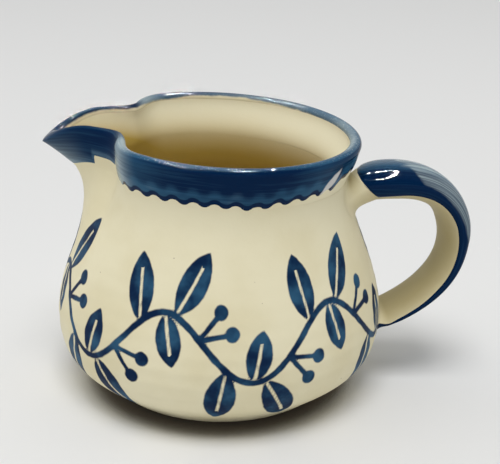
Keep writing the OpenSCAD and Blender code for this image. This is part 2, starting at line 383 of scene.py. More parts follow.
spout_angles = np.linspace(-spout_half, spout_half, SPOUT_CELLS + 1)
collar_angles = np.linspace(spout_half, 2 * np.pi - spout_half, COLLAR_CELLS + 1)
round_angles = np.concatenate([spout_angles[:-1], collar_angles[:-1]])[:, None]
columns = len(round_angles)


def rows_up_to_throat(line, count):
    """Radii and heights of an outline from its start to the throat, spaced evenly along its length."""
    below = line[line[:, 1] < throat_height]
    end = [np.interp(throat_height, line[:, 1], line[:, 0]), throat_height]
    below = np.vstack([below, end])
    run = np.concatenate([[0], np.cumsum(np.hypot(*np.diff(below, axis=0).T))])
    even = np.linspace(0, run[-1], count)
    return np.interp(even, run, below[:, 0]), np.interp(even, run, below[:, 1])


def wall_grid(line, count):
    """Grid of the wall right round: even rows up to the throat, then rows that end at the leaning neck."""
    low = turned(round_angles, *rows_up_to_throat(line, count))
    share = np.linspace(0, 1, HIGH_ROWS + 1)[None, 1:]
    height = throat_rows(round_angles, share, line, 0.0)[..., 2]
    high = turned(round_angles, np.interp(height, line[:, 1], line[:, 0]), height)
    return np.concatenate([low, high], axis=1)


outside = wall_grid(outer_line, LOW_ROWS)
inside = wall_grid(inner_line, INSIDE_ROWS)
print(f"body: {columns} columns, notch of {SPOUT_CELLS} of them")

# %% [markdown]
# ## Closing the body
# A pot is one closed skin: outside, rim, inside and floor. Faces inside the notch are left out, strips
# through the thickness of the wall close the cut, and fans of triangles shut the bottom and the floor.

# %% Body faces
body_points = np.concatenate([outside.reshape(-1, 3), inside.reshape(-1, 3),
                              [[0, 0, 0], [0, 0, floor_thickness]]])
outer_index = np.arange(columns * outside.shape[1]).reshape(columns, -1)
inner_index = outer_index.size + np.arange(columns * inside.shape[1]).reshape(columns, -1)


def ring_quads(first, second):
    """Quads between two rows of points that run right round."""
    return np.stack([first, np.roll(first, -1), np.roll(second, -1), second], axis=-1)


def wall_quads(index, low_rows):
    """Quads of a wall's grid, without the ones in the spout's notch above the throat."""
    ahead = np.roll(index, -1, axis=0)
    quads = np.stack([index[:, :-1], ahead[:, :-1], ahead[:, 1:], index[:, 1:]], axis=-1)
    below = quads[:, :low_rows - 1].reshape(-1, 4)
    beside = quads[SPOUT_CELLS:, low_rows - 1:].reshape(-1, 4)
    return np.concatenate([below, beside])


def cut_quads(column):
    """Strip through the wall's thickness at one side of the notch."""
    out = outer_index[column, LOW_ROWS - 1:]
    into = inner_index[column, INSIDE_ROWS - 1:]
    return np.stack([out[:-1], out[1:], into[1:], into[:-1]], axis=-1)


def fan(ring, centre):
    """Triangles from a closed ring of points to its centre."""
    return np.stack([ring, np.roll(ring, -1), np.full_like(ring, centre)], axis=-1)


neck_rim = ring_quads(outer_index[:, -1], inner_index[:, -1])[SPOUT_CELLS:]
throat_rim = ring_quads(outer_index[:, LOW_ROWS - 1], inner_index[:, INSIDE_ROWS - 1])[:SPOUT_CELLS]
body_faces = np.concatenate([
    wall_quads(outer_index, LOW_ROWS), wall_quads(inner_index, INSIDE_ROWS)[:, ::-1],
    neck_rim, throat_rim, cut_quads(0)[:, ::-1], cut_quads(SPOUT_CELLS)])
body_fans = [fan(outer_index[:, 0], len(body_points) - 2)[:, ::-1],
             fan(inner_index[:, 0], len(body_points) - 1)]
print(f"body: {len(body_faces)} quads and {len(body_fans)} fans")

# %% [markdown]
# ## Brush strokes as distances
# The belly carries brushwork in the same blue as the collar. A border of stem, leaves and berries could
# be cut out as geometry, but paint has no thickness to speak of. Each stroke is a distance instead: how
# far a point of the unrolled wall lies from the stroke's edge, with less than nothing inside it.

# %% Stem
STEM_WAVES = 6
stem_height = 35 * MM
stem_swing = 10.5 * MM
stem_width = 2.1 * MM
wave_length = 2 * np.pi * belly_radius / STEM_WAVES


def stem_line(x):
    """Height of the stem: a sine that swings STEM_WAVES times round the belly."""
    return stem_height + stem_swing * np.sin(2 * np.pi * x / wave_length)


def stem_distance(x, y):
    """Distance to the stem: the height off its line, shortened by the slope, less half its width."""
    slope = stem_swing * 2 * np.pi / wave_length * np.cos(2 * np.pi * x / wave_length)
    return np.abs(y - stem_line(x)) / np.sqrt(1 + slope ** 2) - stem_width / 2


print(f"each wave of the stem is {1000 * wave_length:.1f} mm long")

# %% [markdown]
# ## Leaves and berries
# A loaded brush that is pressed down and lifted again leaves a leaf, pointed at both ends. The overlap
# of two circles is such a shape, and its distance is short to write. A berry is a disc at the end of a
# stalk.

# %% Leaves and berries
stalk_width = 1.6 * MM
stalk_length = 11 * MM
vein_width = 1.0 * MM
berry_radius = 2.4 * MM
VEIN_END_SHARE = 0.78


def lens_distance(x, y, root, turn, length, width):
    """Distance to a lens where two circles overlap, from root along turn, and lengths along and across."""
    along = (x - root[0]) * np.cos(turn) + (y - root[1]) * np.sin(turn)
    across = np.abs((y - root[1]) * np.cos(turn) - (x - root[0]) * np.sin(turn))
    bow = (length ** 2 + width ** 2) / (4 * width)
    return np.hypot(along - length / 2, across + bow - width / 2) - bow, along, across


def leaf_distance(x, y, root, turn, length, width):
    """Distance to a leaf: a lens with a bare vein along most of its middle."""
    lens, along, across = lens_distance(x, y, root, turn, length, width)
    return np.maximum(lens, np.where(along < VEIN_END_SHARE * length, vein_width / 2 - across, -length))


def berry_distance(x, y, root, turn):
    """Distance to a berry on its stalk: a disc at the end of a straight stroke."""
    way = np.array([np.cos(turn), np.sin(turn)])
    share = np.clip((x - root[0]) * way[0] + (y - root[1]) * way[1], 0, stalk_length)
    stalk = np.hypot(x - root[0] - share * way[0], y - root[1] - share * way[1]) - stalk_width / 2
    tip = root + stalk_length * way
    return np.minimum(stalk, np.hypot(x - tip[0], y - tip[1]) - berry_radius)


print(f"stalks {1000 * stalk_length:.0f} mm long, berries {2000 * berry_radius:.1f} mm across")

# %% [markdown]
# ## The border and the body
# The border is a plain trailing stem that runs right round. The smallest distance to any stroke wins,
# and it goes with each point of the body, where the finish turns it into paint with a soft edge. A
# second attribute marks the inside of the wall.

# %% Border and body
FAR_FROM_PAINT = 99.0
# Place of each leaf along a wave, its turn in degrees, and its length and width in millimetres
LEAVES = ((0.10, 100, 21, 10), (0.31, 60, 22, 10), (0.25, -78, 17, 8.5),
          (0.60, -100, 21, 10), (0.81, -60, 22, 10), (0.75, 78, 17, 8.5))
# Place along a wave and turn in degrees of each berry's stalk
STALKS = ((0.45, 10), (0.45, 50), (0.95, -10), (0.95, -50))


def stem_point(place):
    """Point of the stem at a place counted in waves."""
    x = place * wave_length
    return np.array([x, stem_line(x)])


def brushwork(angle, height):
    """Distance in millimetres to the nearest stroke, at an angle and a height; negative inside it."""
    x = np.mod(angle, 2 * np.pi) * belly_radius
    nearest = stem_distance(x, height)
    for step in range(-1, STEM_WAVES + 1):
        for place, turn, length, width in LEAVES:
            leaf = (stem_point(step + place), np.radians(turn), length * MM, width * MM)
            nearest = np.minimum(nearest, leaf_distance(x, height, *leaf))
        for place, turn in STALKS:
            berry = berry_distance(x, height, stem_point(step + place), np.radians(turn))
            nearest = np.minimum(nearest, berry)
    return nearest / MM


def unpainted(shape):
    """Field of points that no stroke comes near."""
    return np.full(shape, FAR_FROM_PAINT)


outside_paint = brushwork(round_angles, outside[..., 2])
body_paint = unpainted(len(body_points))
body_paint[:outer_index.size] = outside_paint.ravel()
inside_mark = np.concatenate([np.zeros(outer_index.size), np.ones(inner_index.size), [0, 1]])
pot_body = make_piece("pot_body", body_points, body_faces, body_fans, brush=body_paint, inside=inside_mark)
print(f"brushwork covers {100 * np.mean(outside_paint < 0):.0f}% of the outside's points")

# %% [markdown]
# ## The collar and the spout
# Both are rows of closed loops: up the outside, over the lip and down the inside. The loops at the ends
# of the collar and of the spout come from the same formula at the same angle, so the two meet without a
# seam. More amber glaze gathers in the middle of the spout, so its mark, which also carries painted
# shade, is stronger there.

# %% Collar and spout
COLLAR_ROWS = 22
LIP_TURNS = 14
SPOUT_AMBER_AND_SHADE = 1.6
collar_share = np.linspace(0, 1, COLLAR_ROWS + 1)[None, :]
throat_share = np.linspace(0, 1, HIGH_ROWS + 1)[None, :]
lip_turn = np.linspace(0, np.pi, LIP_TURNS + 2)[None, 1:-1]


def collar_loops(angles):
    """Loops round the collar's wall: outside, lip and inside."""
    a = angles[:, None]
    return np.concatenate([collar_outside(a, collar_share), lip_rows(a, lip_turn),
                           collar_inside(a, collar_share[:, ::-1])], axis=1)


def spout_loops(angles):
    """Loops round the spout's wall: the collar's loops, carried on down to the throat on both sides."""
    a = angles[:, None]
    below_out = throat_rows(a, throat_share[:, :-1], outer_line, 1.0)
    below_in = throat_rows(a, throat_share[:, -2::-1], inner_line, 0.0)
    return np.concatenate([below_out, collar_loops(angles), below_in], axis=1)


def inside_of(loops, rows, amount):
    """Marks the last rows of each loop, the inside of the wall, with the amount of amber and painted shade
    there.
    """
    mark = np.zeros(loops.shape[:2])
    mark[:, loops.shape[1] - rows:] = amount
    return mark


collar_wall = collar_loops(collar_angles)
collar_mark = inside_of(collar_wall, COLLAR_ROWS + 1, 1)
pot_collar = make_piece("pot_collar", collar_wall, skin(collar_wall), inside=collar_mark,
                        brush=unpainted(collar_wall.shape[:2]))
spout_wall = spout_loops(spout_angles)
throat_paint = unpainted(spout_wall.shape[:2])
throat_heights = throat_height + throat_share[:, :-1] * (neck_height - throat_height)
throat_paint[:, :HIGH_ROWS] = brushwork(spout_angles[:, None], throat_heights)
# The spout's amber, partly painted shade, is strongest in the middle of its channel
spout_amber = 1 + SPOUT_AMBER_AND_SHADE * hump(spout_angles / spout_half)[:, None]
spout_mark = inside_of(spout_wall, COLLAR_ROWS + 1 + HIGH_ROWS, spout_amber)
pot_spout = make_piece("pot_spout", spout_wall, skin(spout_wall), brush=throat_paint, inside=spout_mark)

# %% [markdown]
# ## The slip's lower edge
# Slip is liquid clay, brushed on before firing. Along the collar its lower edge is a row of small
# scallops, drawn by hand, so the row wanders up and down. On the spout the edge is plain, with a step
# where two strokes met. A table of a few heights gives the wandering line, and a cosine with blunted
# waves the scallops.

# %% Slip edge
SCALLOPS = 41
scallop_depth = 0.7 * MM
SCALLOP_POWER = 0.75
scallop_phase = np.radians(51.3)
SCALLOP_START = np.radians((38, 48))
# Angle from the spout in degrees, and height of the edge above the neck in millimetres
EDGE_POINTS = np.array([
    (0, 1.6), (15.6, 1.3), (16.8, 4.4), (25, 4.3), (31, 3.4), (38, 0.9), (50, 1.2), (95, 1.1),
    (108, 0.4), (118, 1.7), (136, 2.6), (148, 3.0), (156, 6.0), (180, 6.0)])


def from_spout(angle):
    """Angle to the middle of the spout, the same to both sides."""
    return np.abs(np.mod(angle + np.pi, 2 * np.pi) - np.pi)


def slip_edge(angle):
    """Height of the slip's lower edge above the neck: lines between points, less a cosine for scallops."""
    away = from_spout(angle)
    swing = np.cos(SCALLOPS * (away - scallop_phase))
    waves = np.interp(away, SCALLOP_START, (0, 1)) * np.sign(swing) * np.abs(swing) ** SCALLOP_POWER
    return np.interp(np.degrees(away), *EDGE_POINTS.T) * MM - scallop_depth * waves


edge_heights = slip_edge(round_angles) / MM
print(f"the edge lies {edge_heights.min():.1f} to {edge_heights.max():.1f} mm above the neck")

# %% [markdown]
# ## Where the slip is thick or thin
# A brush leaves more slip in some places than in others: it wears thin on the lip's crest and beside
# the pinches, and two slanting strokes left a gap near the handle. The crest and the ends of the collar
# are also painted paler, partly as painted reflection, and the gap a pale grey, as painted reflection.
# Lengths and shares that say so are kept at each point of the coat, and the finish turns them into blues.

# %% Slip fields
# Angle right round in degrees, and length in millimetres from the lip's crest to the slip's inner edge
INNER_POINTS = np.array([
    (0, 1.7), (60, 2.4), (120, 2.4), (180, 3.2), (200, 3.2), (225, 2.9), (245, 2.3), (265, 1.7),
    (290, 1.7), (302, 2.5), (316, 2.5), (326, 1.7), (360, 1.7)])
# Angle right round in degrees, and how thin the slip is on the crest and inside it; the crest's pale is
# partly painted reflection
RIM_POINTS = np.array([
    (0, 0), (34, 0.1), (42, 0.75), (66, 0.68), (90, 0.36), (120, 0.3), (150, 0.45), (172, 0.85),
    (198, 0.85), (214, 0.4), (240, 0.32), (262, 0.28), (290, 0.1), (310, 0.12), (322, 0), (360, 0)])
# Angle from the spout in degrees, and how far the blue there goes from deep to middling, partly as painted
# reflection towards the collar's ends
TONE_POINTS = np.array([
    (0, 0.45), (12, 0.2), (30, 0.1), (42, 0.9), (52, 0.8), (70, 0.2), (100, -0.1), (116, 0),
    (134, 0.5), (150, 0.3), (180, 0.5)])
# The gap: angle of its middle, root from there, turn, and length and width
gap_angle = np.radians(145)
gap_root = (-4.5 * MM, 1.6 * MM)
gap_turn = np.radians(50)
gap_size = (11.5 * MM, 4.2 * MM)
thin_angle = np.radians(42)
thin_spread = np.radians(16)
nose_thin = 13 * MM
plain_edge = 3 * MM


def slip_fields(a, run, height):
    """Lengths and shares over a coat, from its angles, the run up from its lower edge and its heights."""
    away = from_spout(a)
    degrees_round = np.mod(np.degrees(a), 360)
    arc = np.broadcast_to(a * rim_radius, run.shape)
    from_crest = run[:, collar_share.size + LIP_TURNS // 2][:, None] - run
    nose = hump(a / droop_angle) * np.clip(1 - run / nose_thin, 0, 1)
    gap = lens_distance(arc - gap_angle * rim_radius, height, gap_root, gap_turn, *gap_size)[0]
    return {
        "arc": arc,
        "from_crest": from_crest,
        "from_edge": run + plain_edge * np.interp(away, SCALLOP_START, (1, 0)),
        "from_inside": from_crest + np.interp(degrees_round, *INNER_POINTS.T) * MM,
        "gap": gap,
        "thin": np.maximum(hump((away - thin_angle) / thin_spread), nose) * MM,
        "tone": np.broadcast_to(np.interp(np.degrees(away), *TONE_POINTS.T), run.shape) * MM,
        "rim": np.broadcast_to(np.interp(degrees_round, *RIM_POINTS.T), run.shape) * MM,
        "dry": 0 * run,
    }


print(f"tables of {len(INNER_POINTS)}, {len(RIM_POINTS)} and {len(TONE_POINTS)} points")

# %% [markdown]
# ## Slip on the collar and the spout
# The slip lies on the wall as a coat a fifth of a millimetre thick that thins out to nothing at its
# edges. A paint mask on the clay would give the colour, but not the soft step that catches the light.
# So the coat is the wall's own rows, out along the wall stood off by the thickness, and back along the
# wall itself.

# %% Slip on the rim
slip_thickness = 0.2 * MM
lip_taper = np.radians(28)
TAPER_SHARE = 0.12
SPOUT_COAT_CELLS = 240
COLLAR_COAT_CELLS = 520
streak_unit = 10 * MM


def slip_coat(angles):
    """Loops of the coat, out along the wall, stood off by its thickness, and back; and its fields."""
    a = angles[:, None]
    first = slip_edge(a) / lip_height
    rows = first + (1 - first) * collar_share
    turn = np.append(lip_turn, [[np.pi]], axis=1)
    wall_coat = slip_thickness * np.minimum(1, collar_share / TAPER_SHARE)
    lip_coat = slip_thickness * np.minimum(1, (np.pi - turn) / lip_taper)
    under = np.concatenate([collar_outside(a, rows), lip_rows(a, turn)], axis=1)
    over = np.concatenate([collar_outside(a, rows, wall_coat), lip_rows(a, turn, lip_coat)], axis=1)
    steps = np.linalg.norm(np.diff(under, axis=1), axis=2)
    run = np.concatenate([np.zeros((len(angles), 1)), np.cumsum(steps, axis=1)], axis=1)
    lip_heights = np.full((len(angles), turn.size), lip_height)
    height = np.concatenate([rows * lip_height, lip_heights], axis=1)
    return np.concatenate([over, under[:, ::-1]], axis=1), slip_fields(a, run, height)


def make_coat(name, loops, fields):
    """Makes a coat; fields on the outer half of each loop are mirrored to the other and kept in mm."""
    both = {key: np.concatenate([field, field[:, ::-1]], axis=1) / MM for key, field in fields.items()}
    uv = np.stack([both.pop("arc"), both["from_crest"]], axis=-1) * MM / streak_unit
    return make_piece(name, loops, skin(loops), uv=uv, **both)


collar_coat_angles = np.linspace(collar_angles[0], collar_angles[-1], COLLAR_COAT_CELLS + 1)
spout_coat_angles = np.linspace(-spout_half, spout_half, SPOUT_COAT_CELLS + 1)
collar_slip = make_coat("collar_slip", *slip_coat(collar_coat_angles))
spout_slip = make_coat("spout_slip", *slip_coat(spout_coat_angles))

# %% [markdown]
# ## The strap's line
# A pulled handle is a strap of clay, bent over while it is soft. Its middle line is three cubic curves
# in one upright plane: from the neck to the crown, round to the grip, and back to the belly. A Bezier
# curve object would do as well, but numbers here can be shared with the wads and the slip.

# %% Strap line
upper_root_height = 67 * MM
lower_root_height = 22.1 * MM
crown = np.array([neck_radius + 17.5 * MM, 73 * MM])
grip = np.array([neck_radius + 38.7 * MM, 53.2 * MM])
ROOT_GUIDE_SHARES = (0.39, 0.56)
CROWN_GUIDE_SHARES = (0.80, 0.93)
GRIP_GUIDE_SHARES = (0.20, 0.19)
BELLY_GUIDE_SHARES = (0.98, 0.36)


def wall_point(height):
    """Radius and height of the wall's outside at a height."""
    return np.array([np.interp(height, outer_line[:, 1], outer_line[:, 0]), height])


upper_root = wall_point(upper_root_height)
lower_root = wall_point(lower_root_height)
to_crown = crown - upper_root
to_grip = grip - crown
to_belly = grip - lower_root
strap_curves = np.array([
    [upper_root, upper_root + to_crown * ROOT_GUIDE_SHARES,
     crown - [CROWN_GUIDE_SHARES[0] * to_crown[0], 0], crown],
    [crown, crown + [CROWN_GUIDE_SHARES[1] * to_grip[0], 0],
     grip - [0, GRIP_GUIDE_SHARES[0] * to_grip[1]], grip],
    [grip, grip - [0, GRIP_GUIDE_SHARES[1] * to_belly[1]],
     lower_root + to_belly * BELLY_GUIDE_SHARES, lower_root],
])


def strap_middle(place):
    """Middle line and its direction at a place counted in curves: 0 is the upper root, 3 the lower one."""
    curve = np.clip(np.floor(place).astype(int), 0, 2)
    a, b, c, d = np.moveaxis(strap_curves[curve], -2, 0)
    t = (place - curve)[..., None]
    way = (1 - t) ** 2 * (b - a) + 2 * t * (1 - t) * (c - b) + t ** 2 * (d - c)
    return cubic((a, b, c, d), place - curve), way / np.linalg.norm(way, axis=-1, keepdims=True)


print(f"the strap runs from {1000 * upper_root_height:.1f} down to {1000 * lower_root_height:.1f} mm")

# %% [markdown]
# ## The strap's section
# The section is a squared-off ellipse that thins towards the lower end. It is carried along the line,
# kept square to it, and twisted about it: a hand turns the soft strap a little, most of all where it
# was pressed on at the upper root.

# %% Strap section
crown_width = 24 * MM
lower_width = 19.2 * MM
crown_thickness = 12.2 * MM
lower_thickness = 3.6 * MM
THINNING_PLACES = (1, 3)
section_power = 0.95
strap_twist = np.radians(11.3)
TWIST_PLACES = (0, 0.6, 1.7, 3)
TWIST_SHARES = (0, 0, 1, 0.6)
root_twist = np.radians(21)
ROOT_TWIST_POWER = 2
ROOT_TWIST_PLACES = (0.4, 1.1)


def squared(x):
    """Cosine or sine raised to the section's power, with its sign kept: below 1 the ellipse is squarer."""
    return np.sign(x) * np.abs(x) ** section_power


def twist_at(place):
    """Turn of the section about the line: a table of shares, and a root twist that fades as a power."""
    fade = np.interp(place, ROOT_TWIST_PLACES, (1, 0))
    along = strap_twist * np.interp(place, TWIST_PLACES, TWIST_SHARES)
    return along + root_twist * fade ** ROOT_TWIST_POWER


def strap_surface(place, turn, grow=0.0):
    """Points of the strap: half the width by cosine, half the thickness by sine, twisted about the line."""
    place = place + 0 * turn
    line, way = strap_middle(place)
    twist = twist_at(place)
    width = np.interp(place, THINNING_PLACES, [crown_width, lower_width])
    thickness = np.interp(place, THINNING_PLACES, [crown_thickness, lower_thickness])
    across = (width / 2 + grow) * squared(np.cos(turn))
    stand = (thickness / 2 + grow) * squared(np.sin(turn))
    rise = stand * np.cos(twist) - across * np.sin(twist)
    return np.stack([line[..., 0] - way[..., 1] * rise,
                     across * np.cos(twist) + stand * np.sin(twist),
                     line[..., 1] + way[..., 0] * rise], axis=-1)


print(f"the section is {1000 * crown_width:.0f} by {1000 * crown_thickness:.1f} mm at the crown")

# %% [markdown]
# ## The strap
# The strap starts on a slant where it leaves the upper wad, sooner on its top than on its underside, as
# clay does that is smeared over from above. A grid with the same number of rings on every side keeps
# its faces even. A field marks the inner face, which the brush missed; it is tinted tan, partly for the
# clay and partly as painted shade under the strap. The whole handle is skewed a few degrees off the line
# of the spout.

# %% Strap
START_PLACE = 0.51
START_SLANT = 0.11
strap_end = 2.95
STRAP_RINGS = 200
STRAP_SIDES = 96
handle_skew = np.radians(5.4)


def strap_start(turn):
    """Place at which the strap leaves the upper wad: a slant from its top to its underside."""
    return START_PLACE - START_SLANT * np.sin(turn)


def skewed(points):
    """Points turned about Z by the handle's skew."""
    x, y, z = np.moveaxis(points, -1, 0)
    return np.stack([x * np.cos(handle_skew) - y * np.sin(handle_skew),
                     x * np.sin(handle_skew) + y * np.cos(handle_skew), z], axis=-1)


strap_turns = (np.arange(STRAP_SIDES)[None, :] + 0.5) * 2 * np.pi / STRAP_SIDES
first_places = strap_start(strap_turns)
last_places = np.full_like(first_places, strap_end)
ring_share = np.linspace(0, 1, STRAP_RINGS)[:, None]
strap_places = first_places + (last_places - first_places) * ring_share
strap_loops = skewed(strap_surface(strap_places, strap_turns))
# Painted shade: the tan is strongest in the middle of the inner face, which faces the body
strap_tan_and_shade = np.sqrt(np.clip(-np.sin(strap_turns), 0, 1)) + 0 * strap_places
handle_strap = make_piece("handle_strap", strap_loops, skin(strap_loops), tan=strap_tan_and_shade,
                          brush=unpainted(strap_loops.shape[:2]))

run_places = np.linspace(START_PLACE - START_SLANT, strap_end, STRAP_RINGS)
strap_steps = np.linalg.norm(np.diff(strap_middle(run_places)[0], axis=0), axis=1)
strap_run = np.concatenate([[0], np.cumsum(strap_steps)])
print(f"the strap is {1000 * strap_run[-1]:.0f} mm long")

# %% [markdown]
# ## Luting clay at the roots
# The strap is stuck on with soft clay that is smeared out over the wall. Each wad starts as an oval
# print on the wall, leaves it along the wall like a fillet, and draws in to the strap's own end ring
# along cubic curves. A bevel between two meshes can't follow such a smear, and cubics need only a few
# shares.

# %% Wad shapes
luting_gap = 0.05 * MM
WAD_RINGS = 28
SEAT_SHARES = (0.1, 0.4, 0.7, 1.0)
WAD_FOOT_SHARE = 0.6
WAD_BLEND_SHARE = 0.55
wad_lift = 0.1 * MM
upper_wad_height = 68.5 * MM
# Width of each print, and its reach above and below its middle
upper_print = (32 * MM, 9.5 * MM, 8.2 * MM)
lower_print = (22 * MM, 4 * MM, 6.6 * MM)


def seat_ring(share, side, height, width, above, below):
    """Oval print on the wall: half an ellipse above its middle, half below, laid on the outline."""
    y = share * width / 2 * np.cos(strap_turns[0])
    up = side * np.sin(strap_turns[0])
    z = height + share * np.where(up > 0, above, below) * up
    radius = np.interp(z, outer_line[:, 1], outer_line[:, 0])
    return np.stack([np.sqrt(radius ** 2 - y ** 2) + luting_gap, y, z], axis=-1)


def wad_loops(places, side, height, oval):
    """Loops of a wad in the handle's own plane: rings of its seat, then cubics to the strap's end ring."""
    seats = np.stack([seat_ring(share, side, height, *oval) for share in SEAT_SHARES])
    near = seat_ring(WAD_FOOT_SHARE, side, height, *oval) + [wad_lift, 0, 0]
    end = strap_surface(places, strap_turns)[0]
    out, up = side * strap_middle(places)[1][0].T
    reach = np.linalg.norm(end - near, axis=1, keepdims=True)
    lead = end - WAD_BLEND_SHARE * reach * np.stack([out, 0 * out, up], axis=-1)
    sides = cubic([seats[-1], near, lead, end], np.linspace(0, 1, WAD_RINGS)[1:, None])
    return np.concatenate([seats, sides])


upper_loops = wad_loops(first_places, 1, upper_wad_height, upper_print)
lower_loops = wad_loops(last_places, -1, lower_root_height, lower_print)
print(f"each wad has {len(upper_loops)} loops of {STRAP_SIDES} points")

# %% [markdown]
# ## Blue and tan on the wads
# The brush ran on over the roots, so the wads carry blue as well: past a slanting line at the upper
# root, and on the outer side at the lower one. Both are distances again, as for the border, and the
# strap's slip follows the same lines, so the blue goes on without a break. The tan of the inner face,
# partly painted shade, fades in along a wad.

# %% Wads
# Tan on the wads: partly the clay, partly painted shade at the roots
WAD_TAN_AND_SHADE = 0.2
# Places along the strap, and the turns in degrees at which the blue ends on its near edge
COAT_EDGE = np.array([(0.50, 222), (0.66, 222), (0.82, 218), (0.95, 214), (1.07, 209), (1.80, 206),
                      (2.10, 204), (2.64, 203), (2.79, 198), (2.91, 195), (2.985, 186)])
# The blue starts where x + z + tilt * y, in the handle's own plane, reaches this length
coat_line = 122.2 * MM
COAT_TILT = -0.06


def coat_start_distance(points):
    """Distance past the slanting line where the brush set down, in the handle's own plane."""
    x, y, z = np.moveaxis(points, -1, 0)
    return (x + z + COAT_TILT * y - coat_line) / np.sqrt(2 + COAT_TILT ** 2)


def coat_end(place):
    """Turn past the strap's edges at which the blue ends."""
    return np.radians(np.interp(place, *COAT_EDGE.T) - 180)


outer_side = np.mod(strap_turns + np.pi / 2, 2 * np.pi) - np.pi
past_edge = np.abs(outer_side) - np.pi / 2 - coat_end(strap_end)
lower_side = past_edge * lower_width / 2 + 0 * lower_loops[..., 0]
wad_share = np.concatenate([np.zeros(len(SEAT_SHARES)), np.linspace(0, 1, WAD_RINGS)[1:]])[:, None]
wad_tan_and_shade = np.maximum(WAD_TAN_AND_SHADE, strap_tan_and_shade[:1]) * wad_share
upper_wad = make_piece("upper_wad", skewed(upper_loops), skin(upper_loops), tan=wad_tan_and_shade,
                       brush=-coat_start_distance(upper_loops) / MM)
lower_wad = make_piece("lower_wad", skewed(lower_loops), skin(lower_loops), tan=wad_tan_and_shade,
                       brush=lower_side / MM)

# %% [markdown]
# ## The coat on the strap
# The strap's outer face and both edges are brushed blue, and its inner face stays bare. The coat starts
# at the slanting line near the upper root, as a loaded brush leaves it. Where that line crosses each
# side is looked up among many tried places, which is simpler than solving for it.

# %% Strap coat
COAT_SIDES = 64
COAT_RINGS = 200
START_TRIES = 400
edge_taper = np.radians(8)
END_TAPER_SHARE = 0.02
coat_side_share = np.linspace(0, 1, COAT_SIDES)[None, :]
coat_share = np.linspace(0, 1, COAT_RINGS)[:, None]


def side_turns(places):
    """Turns across the coat at each place, from one end of the blue over the outer face to the other."""
    ends = coat_end(places)
    return -ends + (np.pi + 2 * ends) * coat_side_share


tries = np.linspace(run_places[0], strap_end, START_TRIES)[:, None]
try_turns = side_turns(tries)
past = (coat_start_distance(strap_surface(tries, try_turns)) > 0) & (tries > strap_start(try_turns))
coat_start = tries[np.argmax(past, axis=0), 0][None, :]
coat_places = coat_start + (strap_end - coat_start) * coat_share
coat_ends = coat_end(coat_places)
coat_turns = side_turns(coat_places)
from_side = np.minimum(coat_turns + coat_ends, np.pi + coat_ends - coat_turns)
from_end = np.minimum(coat_share, 1 - coat_share)
taper = np.minimum(1, from_side / edge_taper) * np.minimum(1, from_end / END_TAPER_SHARE)
coat_over = strap_surface(coat_places, coat_turns, slip_thickness * taper)
coat_under = strap_surface(coat_places, coat_turns)
coat_loops = skewed(np.concatenate([coat_over, coat_under[:, ::-1]], axis=1))
coat_run = np.interp(coat_places, run_places, strap_run)
print(f"the blue starts {1000 * coat_run[0].min():.1f} to {1000 * coat_run[0].max():.1f} mm along")

# %% [markdown]
# ## The dry stroke
# Past the crown the brush ran dry: on the top and the far side the slip is thin and streaky, while the
# near edge stays dark. Two tables say where the dry stroke ends towards that edge and where it begins,
# and it fades on the way down. The coat takes it as one more field. The strap's top is also painted
# paler, partly as painted light, and its near side a deeper blue, as painted shade.

# %% Handle slip
# Places along the strap, and the turns in degrees at which the dry stroke ends towards its near edge
DRY_EDGE = np.array([(1.05, 120), (1.11, 160), (1.13, 168), (1.23, 173), (1.34, 179), (1.42, 183),
                     (1.62, 182), (1.80, 177), (2.1, 150), (3, 130)])
# Turns in degrees, and the places along the strap at which the dry stroke begins
DRY_START = np.array([(90, 0.97), (104, 1.03), (115, 0.99), (126, 1.055), (138, 1.03), (147, 1.08),
                      (168, 1.11), (200, 1.16)])
# Places along the strap, and how dry the stroke is there
DRY_FADE = ((1.1, 1.9, 2.8), (0.95, 0.5, 0.15))
# Painted light and shade: the top of the strap is paler, partly for thin slip, and its near side deeper
TOP_TURNS = np.radians((112, 88))
TOP_THIN_AND_LIGHT = 0.4
TONE_AND_SHADE_TURNS = np.radians((140, 112))
dry_soft_turn = np.radians(7)
dry_soft_place = 0.04

dry_edge = np.radians(np.interp(coat_places, *DRY_EDGE.T))
dry_start = np.interp(np.degrees(coat_turns), *DRY_START.T)
off_edge = np.clip((dry_edge - coat_turns) / dry_soft_turn, 0, 1)
dry = off_edge * np.clip((coat_places - dry_start) / dry_soft_place, 0, 1)
dry = dry * np.interp(coat_places, *DRY_FADE)
far_off = unpainted(coat_places.shape) * MM
handle_slip = make_coat("handle_slip", coat_loops, {
    "arc": coat_run,
    "from_crest": (coat_turns - np.pi / 2) * crown_width / 2 + FAR_FROM_PAINT * MM,
    "from_edge": far_off,
    "from_inside": far_off,
    "gap": far_off,
    "thin": np.interp(coat_turns, TOP_TURNS[::-1], (TOP_THIN_AND_LIGHT, 0)) * MM,
    "tone": np.interp(coat_turns, TONE_AND_SHADE_TURNS[::-1], (1, 0)) * MM,
    "dry": dry * MM,
    "rim": 0 * far_off,
})

# %% [markdown]
# ## The liner glaze
# The inside is glazed too, and it turns amber towards the floor, partly where the glaze pools and
# partly as painted shade. Colour alone could show it, but the solid has its own coat there, so this is a
# thin skin over the body's inner wall up to the throat.

# %% Liner glaze
glaze_thickness = 0.15 * MM
LINER_ROWS = 40
LINER_STRIDE = 4
liner_base = floor_thickness + glaze_thickness
liner_line = wall_outline(wall + glaze_thickness, liner_base, INNER_GUIDE_SHARES)


def liner_loops(angles):
    """Loops of the liner below the throat: up the wall's face and back down, stood off by the glaze."""
    radius, height = rows_up_to_throat(inner_line, LINER_ROWS)
    near_radius, near_height = rows_up_to_throat(liner_line, LINER_ROWS)
    near_radius[-1] = radius[-1]
    return turned(angles, np.concatenate([radius, near_radius[::-1]])[None, :],
                  np.concatenate([height, near_height[::-1]])[None, :])


